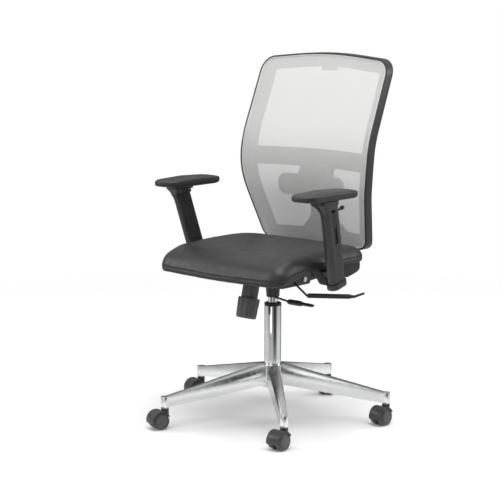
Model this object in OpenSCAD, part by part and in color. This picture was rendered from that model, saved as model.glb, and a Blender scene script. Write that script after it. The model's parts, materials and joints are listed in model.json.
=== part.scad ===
// Swivel office chair: five-star base on twin-wheel casters, gas lift, tilting seat and mesh back.
// Millimetres, +Z up. The origin is on the floor under the column. The chair faces -Y.

/* [Base] */
// Distance from the column to a caster stem
arm_reach = 340; // [300:5:360]
// Turn of the first arm of the base, from +X
base_turn = 28.5; // [0:0.5:72]
// Height of the underside of an arm's tip
tip_z = 61; // [58:1:70]
// Height of the top of the hub
hub_top_z = 167; // [155:1:180]

/* [Casters] */
// Wheel diameter
wheel_d = 50; // [46:1:52]
// Distance from the stem's axis to the wheels' axle
caster_trail = 21; // [18:1:22]
// Way that each caster trails, from +X
caster_turns = [267, 302, 252, 252, 270];

/* [Gas lift] */
// Outer diameter of the fixed tube
tube_d = 50; // [48:0.5:52]
// Diameter of the moving cylinder
cylinder_d = 28; // [26:0.5:30]
// Height of the top of the fixed tube
tube_top_z = 337; // [320:1:345]

/* [Seat] */
// Width of the seat
seat_w = 480; // [440:5:500]
// Height of the cushion's flat underside
seat_z = 477; // [475:1:480]
// Height of the cushion above its underside
cushion_h = 44; // [36:1:60]

/* [Tilt] */
// Height of the pivot that the back leans about
recline_z = 412; // [411:1:413]
// Distance of that pivot behind the column
recline_y = 72; // [70:1:74]

/* [Back] */
// Depth of the back's rim
rim_depth = 30; // [24:1:36]
// Lean of the upper back
upper_lean = 22.5; // [18:0.5:24]
// Lean of the lower back
lower_lean = 18; // [14:0.5:20]
// Radius of the lumbar curve
lumbar_r = 300; // [260:10:340]

/* [Arms] */
// Length of an arm pad
pad_l = 240; // [220:5:260]
// Width of an arm pad
pad_w = 85; // [70:1:95]
// Thickness of an arm pad
pad_h = 28; // [22:1:32]
// Distance from the middle plane to a pad's middle
pad_x = 265; // [255:1:275]

/* [Hidden] */
$fn = 48;
run_gap = 0.05;      // radial play of a running shaft
slide_gap = 0.4;     // play of a sliding plastic part
far = 1000;          // longer than anything that is cut
black = "#2b2b2d";
dark_plastic = "#414143";
steel = "#b9bcc0";
chrome = "#d8dadd";
wall = 4;            // walls of the base's arms

// ---- Base and column ----
hub_r = 35;
hub_low_z = 94.5;
hub_high_z = hub_top_z - 5.5;
hub_half = 20;       // half width an arm would have at the axis
arm_low_z = 107;     // height its underside would have there
arm_start = 27;      // where an arm starts, inside the hub
tip_half = 10.5;     // half width of an arm at its tip
tip_h = 30;
boss_r = 12;         // boss round a caster's stem, a little proud of the arm
boss_h = 31.5;
stem_r = 5.5;
stem_l = 22;
tube_r = tube_d / 2;
tube_wall = 2;
tube_bottom_z = 94;
swage = 1.6;         // how much narrower the tube's lower end is
bush_flange_h = 9;
bush_l = 75;
shoulder_z = 105;    // top of the thrust bearing
piston_z = 372;
piston_h = 16;

// ---- Moving cylinder and its seat in the mechanism ----
cylinder_r = cylinder_d / 2;
cylinder_bore_r = cylinder_r - 2;
cylinder_bottom_z = 130;
cylinder_top_z = 405;
taper_z = 363;       // where the cylinder's taper starts
taper_in = 1;        // how much the radius drops over the taper
rod_r = 5;
button_r = 4;
button_top_z = 411;

// ---- Mechanism ----
floor_z = 396;       // underside of the housing's flat floor
floor_t = 4;
house_half = 62;
pin_r = 6;
seat_pin_r = 5;
seat_pivot = [-40, 430];
link_pin = [145, 424];
slope_y = -30;       // the floor rises from here to the front
housing_open_y = 58; // the floor ends here, in front of the back's cheeks
screw_y = -94;       // the tension screw crosses the floor here
screw_lean = 14.5;
screw_z = floor_z + (slope_y - screw_y) * tan(screw_lean);
screw_r = 6;
knob_top = -40;      // along the screw, from the housing
knob_bottom = -101;
sleeve_r = 24;
sleeve_l = 52;
lever_pivot = [34, 418];
lever_y = -28;
lever_r = 3;
tilt_y = 10;
tilt_z = 416.7;

// ---- Seat ----
seat_front = -254;
seat_side_rear = 165;
board_t = 12;
board_inset = 14;
plate_t = 3;
screw_hole_r = 3;

// ---- Back: side curve of the rim's front edge ----
lumbar_y = 128;      // most forward point of the curve
lumbar_z = 738;
rim_wall = 5;
flange_w = 42;
flange_t = 5;
mesh_t = 2.5;
spine_half = 46;

// ---- Arms ----
arm_foot = [264, -26, 420];
arm_lean = 15.5;
arm_splay = 5.2;
sleeve_w = 60;
sleeve_t = 30;
sleeve_wall = 4;
collar_low = 10;      // the collar under the sleeve, along the arm
collar_high = 26;
post_l = 225;
neck_l = 232;        // depth of the post's room inside the sleeve
trigger_z = 237;
slot_w = 16;
slot_z0 = 144;

// Outline helpers: a polygon whose corners are replaced by arcs, and the same polygon moved inwards.
function unit(v) = v / norm(v);
function wrap(pts, i) = pts[(i + len(pts)) % len(pts)];
function arc_between(s, e, n) =
    let (sweep = acos(s * e / (s * s)) * sign(cross(s, e)))
    [for (k = [0:n]) [s.x * cos(sweep * k / n) - s.y * sin(sweep * k / n),
                      s.x * sin(sweep * k / n) + s.y * cos(sweep * k / n)]];
function round_corner(a, b, c, r, n) =
    let (u = unit(a - b), w = unit(c - b), half = acos(u * w) / 2, d = r / tan(half),
         centre = b + unit(u + w) * r / sin(half))
    [for (p = arc_between(b + u * d - centre, b + w * d - centre, n)) centre + p];
function rounded(pts, radii, n = 8) =
    [for (i = [0:len(pts) - 1])
        each round_corner(wrap(pts, i - 1), pts[i], wrap(pts, i + 1), radii[i], n)];
function inset(pts, d) =
    [for (i = [0:len(pts) - 1])
        let (u = unit(wrap(pts, i - 1) - pts[i]), w = unit(wrap(pts, i + 1) - pts[i]),
             half = acos(u * w) / 2)
        pts[i] + unit(u + w) * d / sin(half)];
function reduced(radii, d) = [for (r = radii) max(r - d, 1)];
function box_points(w, d) = [[-w / 2, -d / 2], [w / 2, -d / 2], [w / 2, d / 2], [-w / 2, d / 2]];
function stadium(w, d) = rounded(box_points(w, d), [for (i = [0:3]) min(w, d) / 2 - 0.01], 10);

// Stand an outline up: in the X-Z plane with its depth along Y, or in the Y-Z plane along X.
module along_y(y0, y1) translate([0, y1, 0]) rotate([90, 0, 0]) linear_extrude(y1 - y0) children();
module along_x(x0, x1) translate([x0, 0, 0]) rotate([90, 0, 90]) linear_extrude(x1 - x0) children();
module each_arm() for (i = [0:4]) rotate([0, 0, base_turn + 72 * i]) children();

// ---------------------------------------------------------------- base
bore_z = tube_bottom_z - 4;
function tube_r_at(z) = tube_r - swage * (hub_top_z - z) / (hub_top_z - tube_bottom_z);

module arm_block(inset_side, side) {
    intersection() {
        translate([0, 0, -1]) linear_extrude(hub_top_z + 2)
            polygon([[0, inset_side - hub_half], [arm_reach, inset_side - tip_half],
                     [arm_reach, tip_half - inset_side], [0, hub_half - inset_side]]);
        along_y(-hub_half, hub_half) polygon(side);
    }
}

function arm_low(x) = arm_low_z + (tip_z - arm_low_z) * x / arm_reach;
function arm_top(x) = hub_top_z + (tip_z + tip_h - hub_top_z) * x / arm_reach;

// A hollow arm, open below. It starts inside the hub and ends inside the boss.
module base_arm() {
    arm_end = arm_reach - 3;
    hollow_end = arm_reach - 14;
    difference() {
        arm_block(0, [[arm_start, arm_low(arm_start)], [arm_end, arm_low(arm_end)],
                      [arm_end, arm_top(arm_end)], [arm_start, arm_top(arm_start)]]);
        arm_block(wall, [[arm_start - 7, tip_z - 10], [hollow_end, tip_z - 10],
                         [hollow_end, arm_top(hollow_end) - wall], [arm_start - 7, arm_top(arm_start - 7) - wall]]);
    }
}

module base_star() color(chrome) difference() {
    union() {
        each_arm() base_arm();
        translate([0, 0, hub_low_z]) cylinder(r = hub_r, h = hub_high_z - hub_low_z);
        each_arm() translate([arm_reach, 0, tip_z]) cylinder(r = boss_r, h = boss_h);
    }
    translate([0, 0, bore_z]) cylinder(r1 = tube_r_at(bore_z), r2 = tube_r_at(hub_top_z + 2),
                                       h = hub_top_z + 2 - bore_z);
    each_arm() translate([arm_reach, 0, tip_z - 1]) cylinder(r = stem_r, h = stem_l + 3);
}

module column_tube() color(chrome) rotate_extrude($fn = 72)
    polygon([[8, tube_bottom_z], [tube_r - swage, tube_bottom_z], [tube_r, hub_top_z],
             [tube_r, tube_top_z], [tube_r - tube_wall, tube_top_z], [tube_r - tube_wall, hub_top_z],
             [tube_r - swage - tube_wall, tube_bottom_z + 3], [8, tube_bottom_z + 3]]);

module guide_bush() color(black) rotate_extrude($fn = 72)
    polygon([[cylinder_r + run_gap, tube_top_z - bush_l], [tube_r - tube_wall, tube_top_z - bush_l],
             [tube_r - tube_wall, tube_top_z], [tube_r + 0.4, tube_top_z],
             [tube_r + 0.4, tube_top_z + bush_flange_h - 2],
             [tube_r - 1.6, tube_top_z + bush_flange_h], [cylinder_r + run_gap, tube_top_z + bush_flange_h]]);

module bearing_race(z) translate([0, 0, z]) difference() {
    cylinder(r = 16, h = 2);
    translate([0, 0, -1]) cylinder(r = 8, h = 4);
}

module thrust_bearing() color(steel) {
    race_z = tube_bottom_z + 3;
    bearing_race(race_z);
    for (a = [0:30:330]) rotate([0, 0, a]) translate([12, 0, race_z + 4]) sphere(r = 1.95, $fn = 24);
    bearing_race(shoulder_z - 2);
}

module piston_rod() color(steel) rotate_extrude()
    polygon([[0, 88], [4.5, 88], [4.5, shoulder_z + 0.1], [9, shoulder_z + 0.1], [9, shoulder_z + 4],
             [rod_r, shoulder_z + 4], [rod_r, piston_z], [cylinder_bore_r - run_gap, piston_z],
             [cylinder_bore_r - run_gap, piston_z + piston_h], [0, piston_z + piston_h]]);

module rod_clip() color(steel) translate([0, 0, tube_bottom_z - 1.7]) difference() {
    cylinder(r = 9, h = 1.6);
    translate([0, 0, -1]) cylinder(r = 4.5, h = 4);
}

// ---------------------------------------------------------------- gas cylinder
module gas_cylinder() color(chrome) difference() {
    rotate_extrude() polygon([[0, cylinder_bottom_z], [cylinder_r, cylinder_bottom_z],
        [cylinder_r, taper_z], [cylinder_r - taper_in, cylinder_top_z], [0, cylinder_top_z]]);
    translate([0, 0, cylinder_bottom_z + 15])
        cylinder(r = cylinder_bore_r, h = cylinder_top_z - 13 - cylinder_bottom_z - 15);
    translate([0, 0, cylinder_bottom_z - 1]) cylinder(r = rod_r + run_gap, h = 20);
    translate([0, 0, cylinder_top_z - 15]) cylinder(r = button_r + run_gap, h = 20);
}

module release_button() color(steel) translate([0, 0, cylinder_top_z - 11])
    cylinder(r = button_r, h = button_top_z - cylinder_top_z + 11);

module cone_cup() color(black) rotate_extrude()
    polygon([[cylinder_r, taper_z], [19, taper_z], [21, floor_z - 4], [29, floor_z - 4], [29, floor_z],
             [22, floor_z], [22, cylinder_top_z], [cylinder_r - taper_in, cylinder_top_z]]);

// ---------------------------------------------------------------- mechanism
function slope_z(y) = floor_z + (slope_y - y) * tan(screw_lean);
wall_line = [[-122, slope_z(-122)], [slope_y, floor_z], [98, floor_z], [98, 434], [40, 452], [-122, 452]];
wall_radii = [6, 30, 8, 10, 30, 8];

module in_screw_frame() translate([0, screw_y, screw_z]) rotate([-screw_lean, 0, 0]) children();

module mechanism_housing() color(black) difference() {
    union() {
        difference() {
            along_x(-house_half, house_half) polygon(rounded(wall_line, wall_radii));
            along_x(-house_half + wall, house_half - wall)
                polygon([[-118, slope_z(-118) + floor_t], [slope_y, floor_z + floor_t],
                         [housing_open_y, floor_z + floor_t], [housing_open_y, floor_z - 10],
                         [110, floor_z - 10], [110, 470], [-118, 470]]);
        }
        for (y = [lever_y - 9, lever_y + 5])
            translate([lever_pivot.x - 7, y, floor_z + 1]) cube([14, 4, lever_pivot.y + 7 - floor_z - 1]);
    }
    translate([0, 0, floor_z - 1]) cylinder(r = 22, h = 12);
    translate([lever_pivot.x - 5, lever_y - 4.5, floor_z - 1]) cube([12, 9, 8]);
    translate([lever_pivot.x, lever_y - 15, lever_pivot.y]) rotate([-90, 0, 0]) cylinder(r = lever_r + run_gap, h = 30);
    translate([-far / 2, seat_pivot.x, seat_pivot.y]) rotate([0, 90, 0]) cylinder(r = seat_pin_r, h = far);
    translate([-far / 2, recline_y, recline_z]) rotate([0, 90, 0]) cylinder(r = pin_r, h = far);
    translate([0, tilt_y, tilt_z]) rotate([0, 90, 0]) cylinder(r = lever_r + 1 + run_gap, h = 80);
    in_screw_frame() translate([0, 0, -12]) cylinder(r = 9, h = 60);
}

// Two cross pins with heads and clips: the seat turns on the front one, the back on the rear one.
module cross_pin(y, z, r, half) translate([-half, y, z]) rotate([0, 90, 0]) {
    cylinder(r = r, h = 2 * half);
    cylinder(r = r + 2, h = 1.6);
    translate([0, 0, 2 * half - 1.6]) cylinder(r = r + 2, h = 1.6);
}

module pivot_pins() color(steel) {
    cross_pin(seat_pivot.x, seat_pivot.y, seat_pin_r, 73);
    cross_pin(recline_y, recline_z, pin_r, 64.5);
}

module tension_sleeve() color(dark_plastic) in_screw_frame() difference() {
    translate([0, 0, -sleeve_l]) cylinder(r = sleeve_r, h = sleeve_l);
    translate([0, 0, -sleeve_l + 4]) cylinder(r = sleeve_r - 3, h = sleeve_l);
    translate([0, 0, -sleeve_l - 1]) cylinder(r = screw_r + run_gap, h = 10);
}

// Coil spring between the nut and the housing's floor.
spring_turns = 5;
spring_steps = 14;
spring_sides = 6;
spring_wire_r = 2.1;
spring_r = 15.5;
spring_low = -37;
spring_high = -4;
function spring_ring(i) =
    let (a = 360 * i / spring_steps,
         z = spring_low + (spring_high - spring_low) * i / (spring_turns * spring_steps))
    [for (k = [0:spring_sides - 1])
        let (b = 360 * k / spring_sides, r = spring_r + spring_wire_r * cos(b))
        [r * cos(a), r * sin(a), z + spring_wire_r * sin(b)]];
module tension_spring() color(steel) in_screw_frame() {
    rings = spring_turns * spring_steps;
    n = spring_sides;
    points = [for (i = [0:rings]) each spring_ring(i)];
    skin = [for (i = [0:rings - 1], k = [0:n - 1])
        [i * n + k, i * n + (k + 1) % n, (i + 1) * n + (k + 1) % n, (i + 1) * n + k]];
    first = [[for (k = [n - 1:-1:0]) k]];
    last = [[for (k = [0:n - 1]) rings * n + k]];
    polyhedron(points, concat([for (f = skin) [f[3], f[2], f[1], f[0]]],
                              [for (f = concat(first, last)) [for (j = [n - 1:-1:0]) f[j]]]));
}

module tension_nut() color(steel) in_screw_frame() translate([0, 0, -sleeve_l + 4.1]) difference() {
    cylinder(r = sleeve_r - 3 - slide_gap, h = 8);
    translate([0, 0, -1]) cylinder(r = screw_r + run_gap, h = 12);
}

module tension_screw() color(steel) in_screw_frame() {
    translate([0, 0, knob_bottom + 14]) cylinder(r = screw_r, h = 30 - knob_bottom - 14);
    translate([0, 0, 25]) cylinder(r = screw_r + 3, h = 5);
}

module tension_knob() color(dark_plastic) in_screw_frame() difference() {
    translate([0, 0, knob_bottom]) cylinder(r1 = 29.5, r2 = 32, h = knob_top - knob_bottom);
    translate([0, 0, -sleeve_l - 0.5]) cylinder(r = sleeve_r + 0.5, h = 60);
    translate([0, 0, knob_bottom + 14]) cylinder(r = screw_r, h = 80);
    for (a = [0:30:330]) rotate([0, 0, a + 15]) translate([34, 0, knob_bottom - 5]) cylinder(r = 5, h = 80);
}

// ---------------------------------------------------------------- levers
module rod_between(a, b, r) {
    d = b - a;
    translate(a) rotate([0, acos(d.z / norm(d)), atan2(d.y, d.x)]) cylinder(r = r, h = norm(d));
}

height_bend = [lever_pivot.x, lever_y, 369];
height_grip_start = [84, lever_y, 362];
height_grip_l = 97;

module height_lever() color(black) {
    pivot = [lever_pivot.x, lever_y, lever_pivot.y];
    translate([pivot.x, lever_y - 10, pivot.z]) rotate([-90, 0, 0]) cylinder(r = lever_r, h = 20);
    translate([pivot.x - 5, lever_y - 4.5, pivot.z - 5]) cube([10, 9, 10]);
    translate([pivot.x - 5, lever_y + 9.5, pivot.z - 5]) cube([10, 23, 10]);
    translate([pivot.x, lever_y + 5, pivot.z]) rotate([-90, 0, 0]) cylinder(r = lever_r, h = 6);
    translate([-4, -4, button_top_z + 0.5]) cube([pivot.x, 8, 5]);
    rod_between(pivot, height_bend, lever_r);
    translate(height_bend) sphere(r = lever_r + 0.4, $fn = 24);
    rod_between(height_bend, height_grip_start + [12, 0, -1], lever_r);
}

module height_grip() color(dark_plastic) difference() {
    translate(height_grip_start) rotate([0, 90, 0])
        rotate_extrude() polygon([[0, 0], [6, 0], [8, 4], [8, 46], [6, 52], [5.4, 60], [6.6, 68], [6.6, 84],
                                  [4, height_grip_l - 3], [0, height_grip_l]]);
    rod_between(height_bend, height_grip_start + [12, 0, -1], lever_r);
}

tilt_root = [68, tilt_y, tilt_z];
tilt_bend = [121, tilt_y + 1.5, 379];
paddle_turn = 35;
paddle_l = 126;
tongue_l = 41;

module tilt_lever() color(black) {
    translate([44, tilt_y, tilt_z]) rotate([0, 90, 0]) cylinder(r = lever_r + 1, h = 24);
    translate([46, tilt_y, tilt_z]) rotate([0, 90, 0]) cylinder(r = 9, h = 6);
    rod_between(tilt_root - [3, 0, 0], tilt_bend, lever_r);
    translate(tilt_bend) sphere(r = lever_r + 0.4, $fn = 24);
    translate(tilt_bend) rotate([0, 90, paddle_turn]) cylinder(r = lever_r, h = 30);
}

module tilt_grip() color(dark_plastic) translate(tilt_bend) rotate([0, 0, paddle_turn]) difference() {
    union() {
        translate([2, 0, -4.5]) linear_extrude(9)
            polygon(rounded([[0, -13], [paddle_l, -13], [paddle_l, 13], [0, 13]], [5, 9, 9, 5]));
        along_y(-9, 9) polygon([[paddle_l - 8, -4], [paddle_l + 12, -2.5], [paddle_l + tongue_l, 9],
                                [paddle_l + tongue_l - 1, 12.5], [paddle_l + 12, 2.5], [paddle_l - 8, 4]]);
    }
    rotate([0, 90, 0]) translate([0, 0, -5]) cylinder(r = lever_r, h = 35);
    sphere(r = lever_r + 0.4, $fn = 24);
}

// ---------------------------------------------------------------- seat
seat_half = seat_w / 2;
seat_plan = [[-seat_half + 2, seat_front + 8], [0, seat_front - 3], [seat_half - 2, seat_front + 8],
             [seat_half, seat_side_rear], [0, seat_side_rear + 20], [-seat_half, seat_side_rear]];
seat_radii = [42, 900, 42, 80, 700, 80];
under_line = [[seat_front - 20, seat_z - 38], [-172, seat_z - 16], [-95, seat_z], [220, seat_z]];

module seat_outline(d) polygon(rounded(inset(seat_plan, d), reduced(seat_radii, d)));

module seat_strip(low, high) along_x(-far / 2, far / 2) polygon(concat(
    [for (p = under_line) p + [0, low]],
    [for (i = [len(under_line) - 1:-1:0]) under_line[i] + [0, high]]));

module seat_board() color("#b48a5a") difference() {
    intersection() {
        translate([0, 0, seat_z - 60]) linear_extrude(100) seat_outline(board_inset);
        seat_strip(0, board_t);
    }
    at_plate_screws() cylinder(r = screw_hole_r, h = 11);
    for (side = [-1, 1]) on_side(side) at_bracket_screws() cylinder(r = screw_hole_r, h = 14);
}

top_line = [[seat_front - 20, seat_z - 38], [-172, seat_z - 16], [-95, seat_z], [220, seat_z],
            [188, seat_z + 24], [150, seat_z + 38], [60, seat_z + cushion_h], [-60, seat_z + cushion_h],
            [-170, seat_z + cushion_h - 6], [-234, seat_z + 17], [seat_front - 6, seat_z - 14]];
top_radii = [1, 20, 20, 4, 30, 80, 200, 200, 100, 26, 10];

module seat_cushion() color("#4a4a4b") difference() {
    intersection() {
        translate([0, 0, seat_z - 60]) linear_extrude(140) seat_outline(0);
        along_x(-far / 2, far / 2) polygon(rounded(top_line, top_radii, 6));
    }
    intersection() {
        translate([0, 0, seat_z - 61]) linear_extrude(142) seat_outline(board_inset);
        seat_strip(-30, board_t);
    }
}

shell_line = [[26, seat_z], [26, seat_z - 34], [62, seat_z - 37], [126, seat_z - 23], [178, seat_z - 2], [178, seat_z]];

module seat_shell() color(dark_plastic) difference() {
    intersection() {
        translate([0, 0, seat_z - 60]) linear_extrude(60) seat_outline(7);
        along_x(-far / 2, far / 2) polygon(shell_line);
    }
    intersection() {
        translate([0, 0, seat_z - 60]) linear_extrude(61) seat_outline(10);
        along_x(-far / 2, far / 2) polygon([[29, seat_z + 1], [29, seat_z - 30.5], [62, seat_z - 33.5],
                                            [125, seat_z - 19.5], [172, seat_z + 1]]);
    }
    translate([-100, 0, seat_z - 80]) cube([200, 164, 100]);
}

rail_line = [[-66, seat_z - 1], [-66, 434], [-52, 420], [-28, 420], [0, 442], [105, 442], [130, 412],
             [160, 412], [160, seat_z - 1]];
rail_radii = [1, 10, 9, 9, 14, 14, 8, 8, 1];
rail_x = 66;
rail_t = 4;

module seat_plate() color(black) difference() {
    union() {
        translate([-96, -94, seat_z - plate_t]) cube([192, 254, plate_t]);
        for (x = [-rail_x - rail_t, rail_x]) along_x(x, x + rail_t) polygon(rounded(rail_line, rail_radii));
    }
    translate([-far / 2, seat_pivot.x, seat_pivot.y]) rotate([0, 90, 0]) cylinder(r = seat_pin_r + run_gap, h = far);
    at_plate_screws() translate([0, 0, -5]) cylinder(r = screw_hole_r, h = 20);
    for (y = [link_pin.x - 0.8, link_pin.x + 3.2])
        translate([-far / 2, y, link_pin.y]) rotate([0, 90, 0]) cylinder(r = seat_pin_r + 0.6, h = far);
    translate([-far / 2, link_pin.x - 0.8, link_pin.y - seat_pin_r - 0.6]) cube([far, 4, 2 * seat_pin_r + 1.2]);
}

// Four wood screws through the plate and eight through the two arm brackets.
module at_plate_screws() for (x = [-86, 86], y = [-70, 120]) translate([x, y, seat_z - plate_t]) children();
module at_bracket_screws() for (x = [122, 160], y = [-42, -18]) translate([x, y, seat_z - 6]) children();

module round_head_screw(l) {
    translate([0, 0, -1]) cylinder(r = screw_hole_r, h = l + 1);
    translate([0, 0, -2.5]) cylinder(r1 = 4.5, r2 = 6, h = 2.5);
}

module seat_screws() color(steel) {
    at_plate_screws() round_head_screw(11);
    for (side = [-1, 1]) on_side(side) at_bracket_screws() round_head_screw(14);
}

// ---------------------------------------------------------------- arms
// side is 1 for the sitter's left arm and -1 for the right one, which is its mirror image.
module on_side(side) mirror([side < 0 ? 1 : 0, 0, 0]) children();
module in_arm_frame() translate(arm_foot) rotate([arm_lean, arm_splay, 0]) children();

bracket_line = [[102, seat_z], [102, seat_z - 6], [186, seat_z - 6], [206, 456], [222, 434], [258, 433],
                [258, 450], [240, 453], [228, 468], [214, seat_z]];
bracket_radii = [1, 1, 20, 20, 12, 1, 1, 8, 14, 4];

module arm_collar(low, high) in_arm_frame() translate([0, 0, low]) linear_extrude(high - low)
    polygon(stadium(38, 66));

module arm_bracket(side) color(black) on_side(side) difference() {
    along_y(-54, -6) polygon(rounded(bracket_line, bracket_radii, 6));
    arm_collar(collar_low, collar_high + 40);
    at_bracket_screws() translate([0, 0, -5]) cylinder(r = screw_hole_r, h = 20);
}

module arm_post(side) color(dark_plastic) on_side(side) {
    arm_collar(collar_low, collar_high);
    in_arm_frame() translate([0, 0, collar_low]) linear_extrude(post_l - collar_low)
        polygon(stadium(sleeve_t - 2 * sleeve_wall - 2 * slide_gap, sleeve_w - 2 * sleeve_wall - 2 * slide_gap));
}

pad_bottom_z = 680;
head_z = 671;
pad_y = -85;
head_line = [[pad_x - 10, -147], [pad_x + 39, -147], [pad_x + 39, -60], [pad_x - 10, -60]];
flare = [[226, 0], [235, 1], [242, 2.6], [248, 5]];   // distance up the arm, and how far the front has moved out

function arm_point(p) =
    let (y = p.y * cos(arm_lean) - p.z * sin(arm_lean), z = p.y * sin(arm_lean) + p.z * cos(arm_lean))
    arm_foot + [p.x * cos(arm_splay) + z * sin(arm_splay), y, z * cos(arm_splay) - p.x * sin(arm_splay)];
function sleeve_ring(at, out) = [for (p = stadium(sleeve_t, sleeve_w + out)) arm_point([p.x, p.y - out / 2, at])];
function head_ring(z) = [for (p = rounded(head_line, [20, 20, 20, 20], 10)) [p.x, p.y, z]];
function ring_between(a, b, flat, up) = [for (i = [0:len(a) - 1])
    [a[i].x + (b[i].x - a[i].x) * flat, a[i].y + (b[i].y - a[i].y) * flat, a[i].z + (b[i].z - a[i].z) * up]];

// The sleeve's outside: an oval tube that spreads forward under the pad.
module sleeve_body() {
    tube = [sleeve_ring(collar_high + 0.5, 0), for (f = flare) sleeve_ring(f[0], f[1])];
    last = tube[len(tube) - 1];
    rings = concat(tube, [ring_between(last, head_ring(head_z), 0.36, 0.5), head_ring(head_z), head_ring(pad_bottom_z)]);
    n = len(last);
    top = (len(rings) - 1) * n;
    skin = [for (i = [0:len(rings) - 2], k = [0:n - 1])
        let (low = i * n + k, next = i * n + (k + 1) % n)
        each [[low, low + n, next + n], [low, next + n, next]]];
    polyhedron([for (r = rings) each r], concat(skin, [[for (k = [0:n - 1]) k]], [[for (k = [n - 1:-1:0]) top + k]]));
}

module arm_sleeve(side) color(dark_plastic) on_side(side) difference() {
    sleeve_body();
    in_arm_frame() {
        translate([0, 0, -5]) linear_extrude(neck_l + 5)
            polygon(stadium(sleeve_t - 2 * sleeve_wall, sleeve_w - 2 * sleeve_wall));
        translate([0, -slot_w / 2, slot_z0]) cube([40, slot_w, trigger_z + 10 - slot_z0]);
        translate([0, -slot_w / 2 - 2, trigger_z]) rotate([-90, 0, 0]) translate([10, 0, 0])
            cylinder(r = lever_r + run_gap, h = 80);
    }
}

module arm_trigger(side) color(black) on_side(side) in_arm_frame() {
    translate([10, -slot_w / 2 - 1.5, trigger_z]) rotate([-90, 0, 0]) cylinder(r = lever_r, h = 52);
    translate([10, 39.5, trigger_z]) rotate([-90, 0, 0]) cylinder(r = 5.5, h = 8);
    translate([11.2, -slot_w / 2 + 1, trigger_z - 46]) cube([3.2, slot_w - 2, 48]);
}

pad_line = [[-pad_w / 2, -pad_l / 2], [pad_w / 2, -pad_l / 2], [pad_w / 2, pad_l / 2], [-pad_w / 2, pad_l / 2]];
module arm_pad(side) color(dark_plastic) on_side(side) intersection() {
    translate([pad_x, pad_y, pad_bottom_z]) linear_extrude(pad_h) polygon(rounded(pad_line, [38, 38, 38, 38]));
    along_x(0, far) polygon(rounded([[pad_y - pad_l / 2 - 6, pad_bottom_z + 5], [pad_y - pad_l / 2 + 40, pad_bottom_z],
        [pad_y + pad_l / 2 - 40, pad_bottom_z], [pad_y + pad_l / 2 + 6, pad_bottom_z + 5],
        [pad_y + pad_l / 2 + 6, pad_bottom_z + pad_h - 6], [pad_y, pad_bottom_z + pad_h + 2],
        [pad_y - pad_l / 2 - 6, pad_bottom_z + pad_h - 6]], [1, 20, 20, 1, 1, 300, 1]));
}

// ---------------------------------------------------------------- back
// Distance behind the column of the rim's front edge, at a height: two leans joined by an arc.
function front_y(z) =
    let (d = z - lumbar_z, up = lumbar_r * sin(upper_lean), down = lumbar_r * sin(lower_lean))
    d > up ? lumbar_y + lumbar_r * (1 - cos(upper_lean)) + (d - up) * tan(upper_lean) :
    d < -down ? lumbar_y + lumbar_r * (1 - cos(lower_lean)) + (-down - d) * tan(lower_lean) :
    lumbar_y + lumbar_r - sqrt(lumbar_r * lumbar_r - d * d);
back_z0 = 480;
back_z1 = 1090;
band_zs = [back_z0, for (z = [lumbar_z - lumbar_r * sin(lower_lean) : 12 : lumbar_z + lumbar_r * sin(upper_lean)]) z,
           lumbar_z + lumbar_r * sin(upper_lean) + 2, back_z1];

module side_band(near, deep) along_x(-far / 2, far / 2) polygon(concat(
    [for (z = band_zs) [front_y(z) + near, z]],
    [for (i = [len(band_zs) - 1:-1:0]) [front_y(band_zs[i]) + deep, band_zs[i]]]));

back_plan = [[-198, 496], [198, 496], [247, 728], [243, 1053], [0, 1075], [-243, 1053], [-247, 728]];
back_radii = [38, 38, 450, 48, 1200, 48, 450];

module back_outline(d) polygon(rounded(inset(back_plan, d), reduced(back_radii, d), 7));

module back_ring(d0, d1, near, deep) intersection() {
    along_y(0, far) difference() {
        back_outline(d0);
        back_outline(d1);
    }
    side_band(near, deep);
}

// A rail that bows backwards in its middle.
function bowed(x, y_end, y_mid, half) = y_mid - (y_mid - y_end) * pow(x / half, 2);
module bowed_rail(half, z0, z1, y_end, y_mid, t) {
    xs = [for (i = [-6:6]) half * i / 6];
    translate([0, 0, z0]) linear_extrude(z1 - z0) polygon(concat(
        [for (x = xs) [x, bowed(x, y_end, y_mid, half)]],
        [for (i = [12:-1:0]) [xs[i], bowed(xs[i], y_end, y_mid, half) + t]]));
}

// Rear face of the spine, a straight line that leans forward going up.
spine_rear_z = 510;
spine_rear_y = 248;
spine_slope = 0.1375;
spine_t = 9;
function spine_y(z) = spine_rear_y - (z - spine_rear_z) * spine_slope;
spine_shape = [[-110, 500], [110, 500], [92, 530], [spine_half, 575], [spine_half, 700], [70, 778], [-70, 778],
               [-spine_half, 700], [-spine_half, 575], [-92, 530]];
spine_radii = [8, 8, 20, 60, 60, 4, 4, 60, 60, 20];

module back_screw_holes(r) for (z = [530, 565, 600])
    translate([0, spine_y(z), z]) rotate([90 + atan(spine_slope), 0, 0]) translate([0, 0, -20]) cylinder(r = r, h = 40);

tab_z = 1029;
tab_hole_x = 11;
tab_front_y = front_y(1032) + 8;
tab_rear_y = front_y(1060) + 34;

module head_tab() difference() {
    along_y(tab_front_y, tab_rear_y) polygon(rounded([[-22, tab_z - 12], [22, tab_z - 12], [22, 1050], [-22, 1050]],
                                                       [6, 6, 2, 2]));
    side_band(-60, rim_depth - flange_t);
}

module cross_rail() bowed_rail(226, 729, 784, front_y(756) + rim_depth - flange_t, 204, 7);
module spine() intersection() {
    along_y(0, far) polygon(rounded(spine_shape, spine_radii, 6));
    along_x(-far / 2, far / 2) polygon([[spine_y(490) - spine_t, 490], [spine_y(490), 490],
                                        [spine_y(790), 790], [spine_y(790) - spine_t, 790]]);
}

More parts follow.
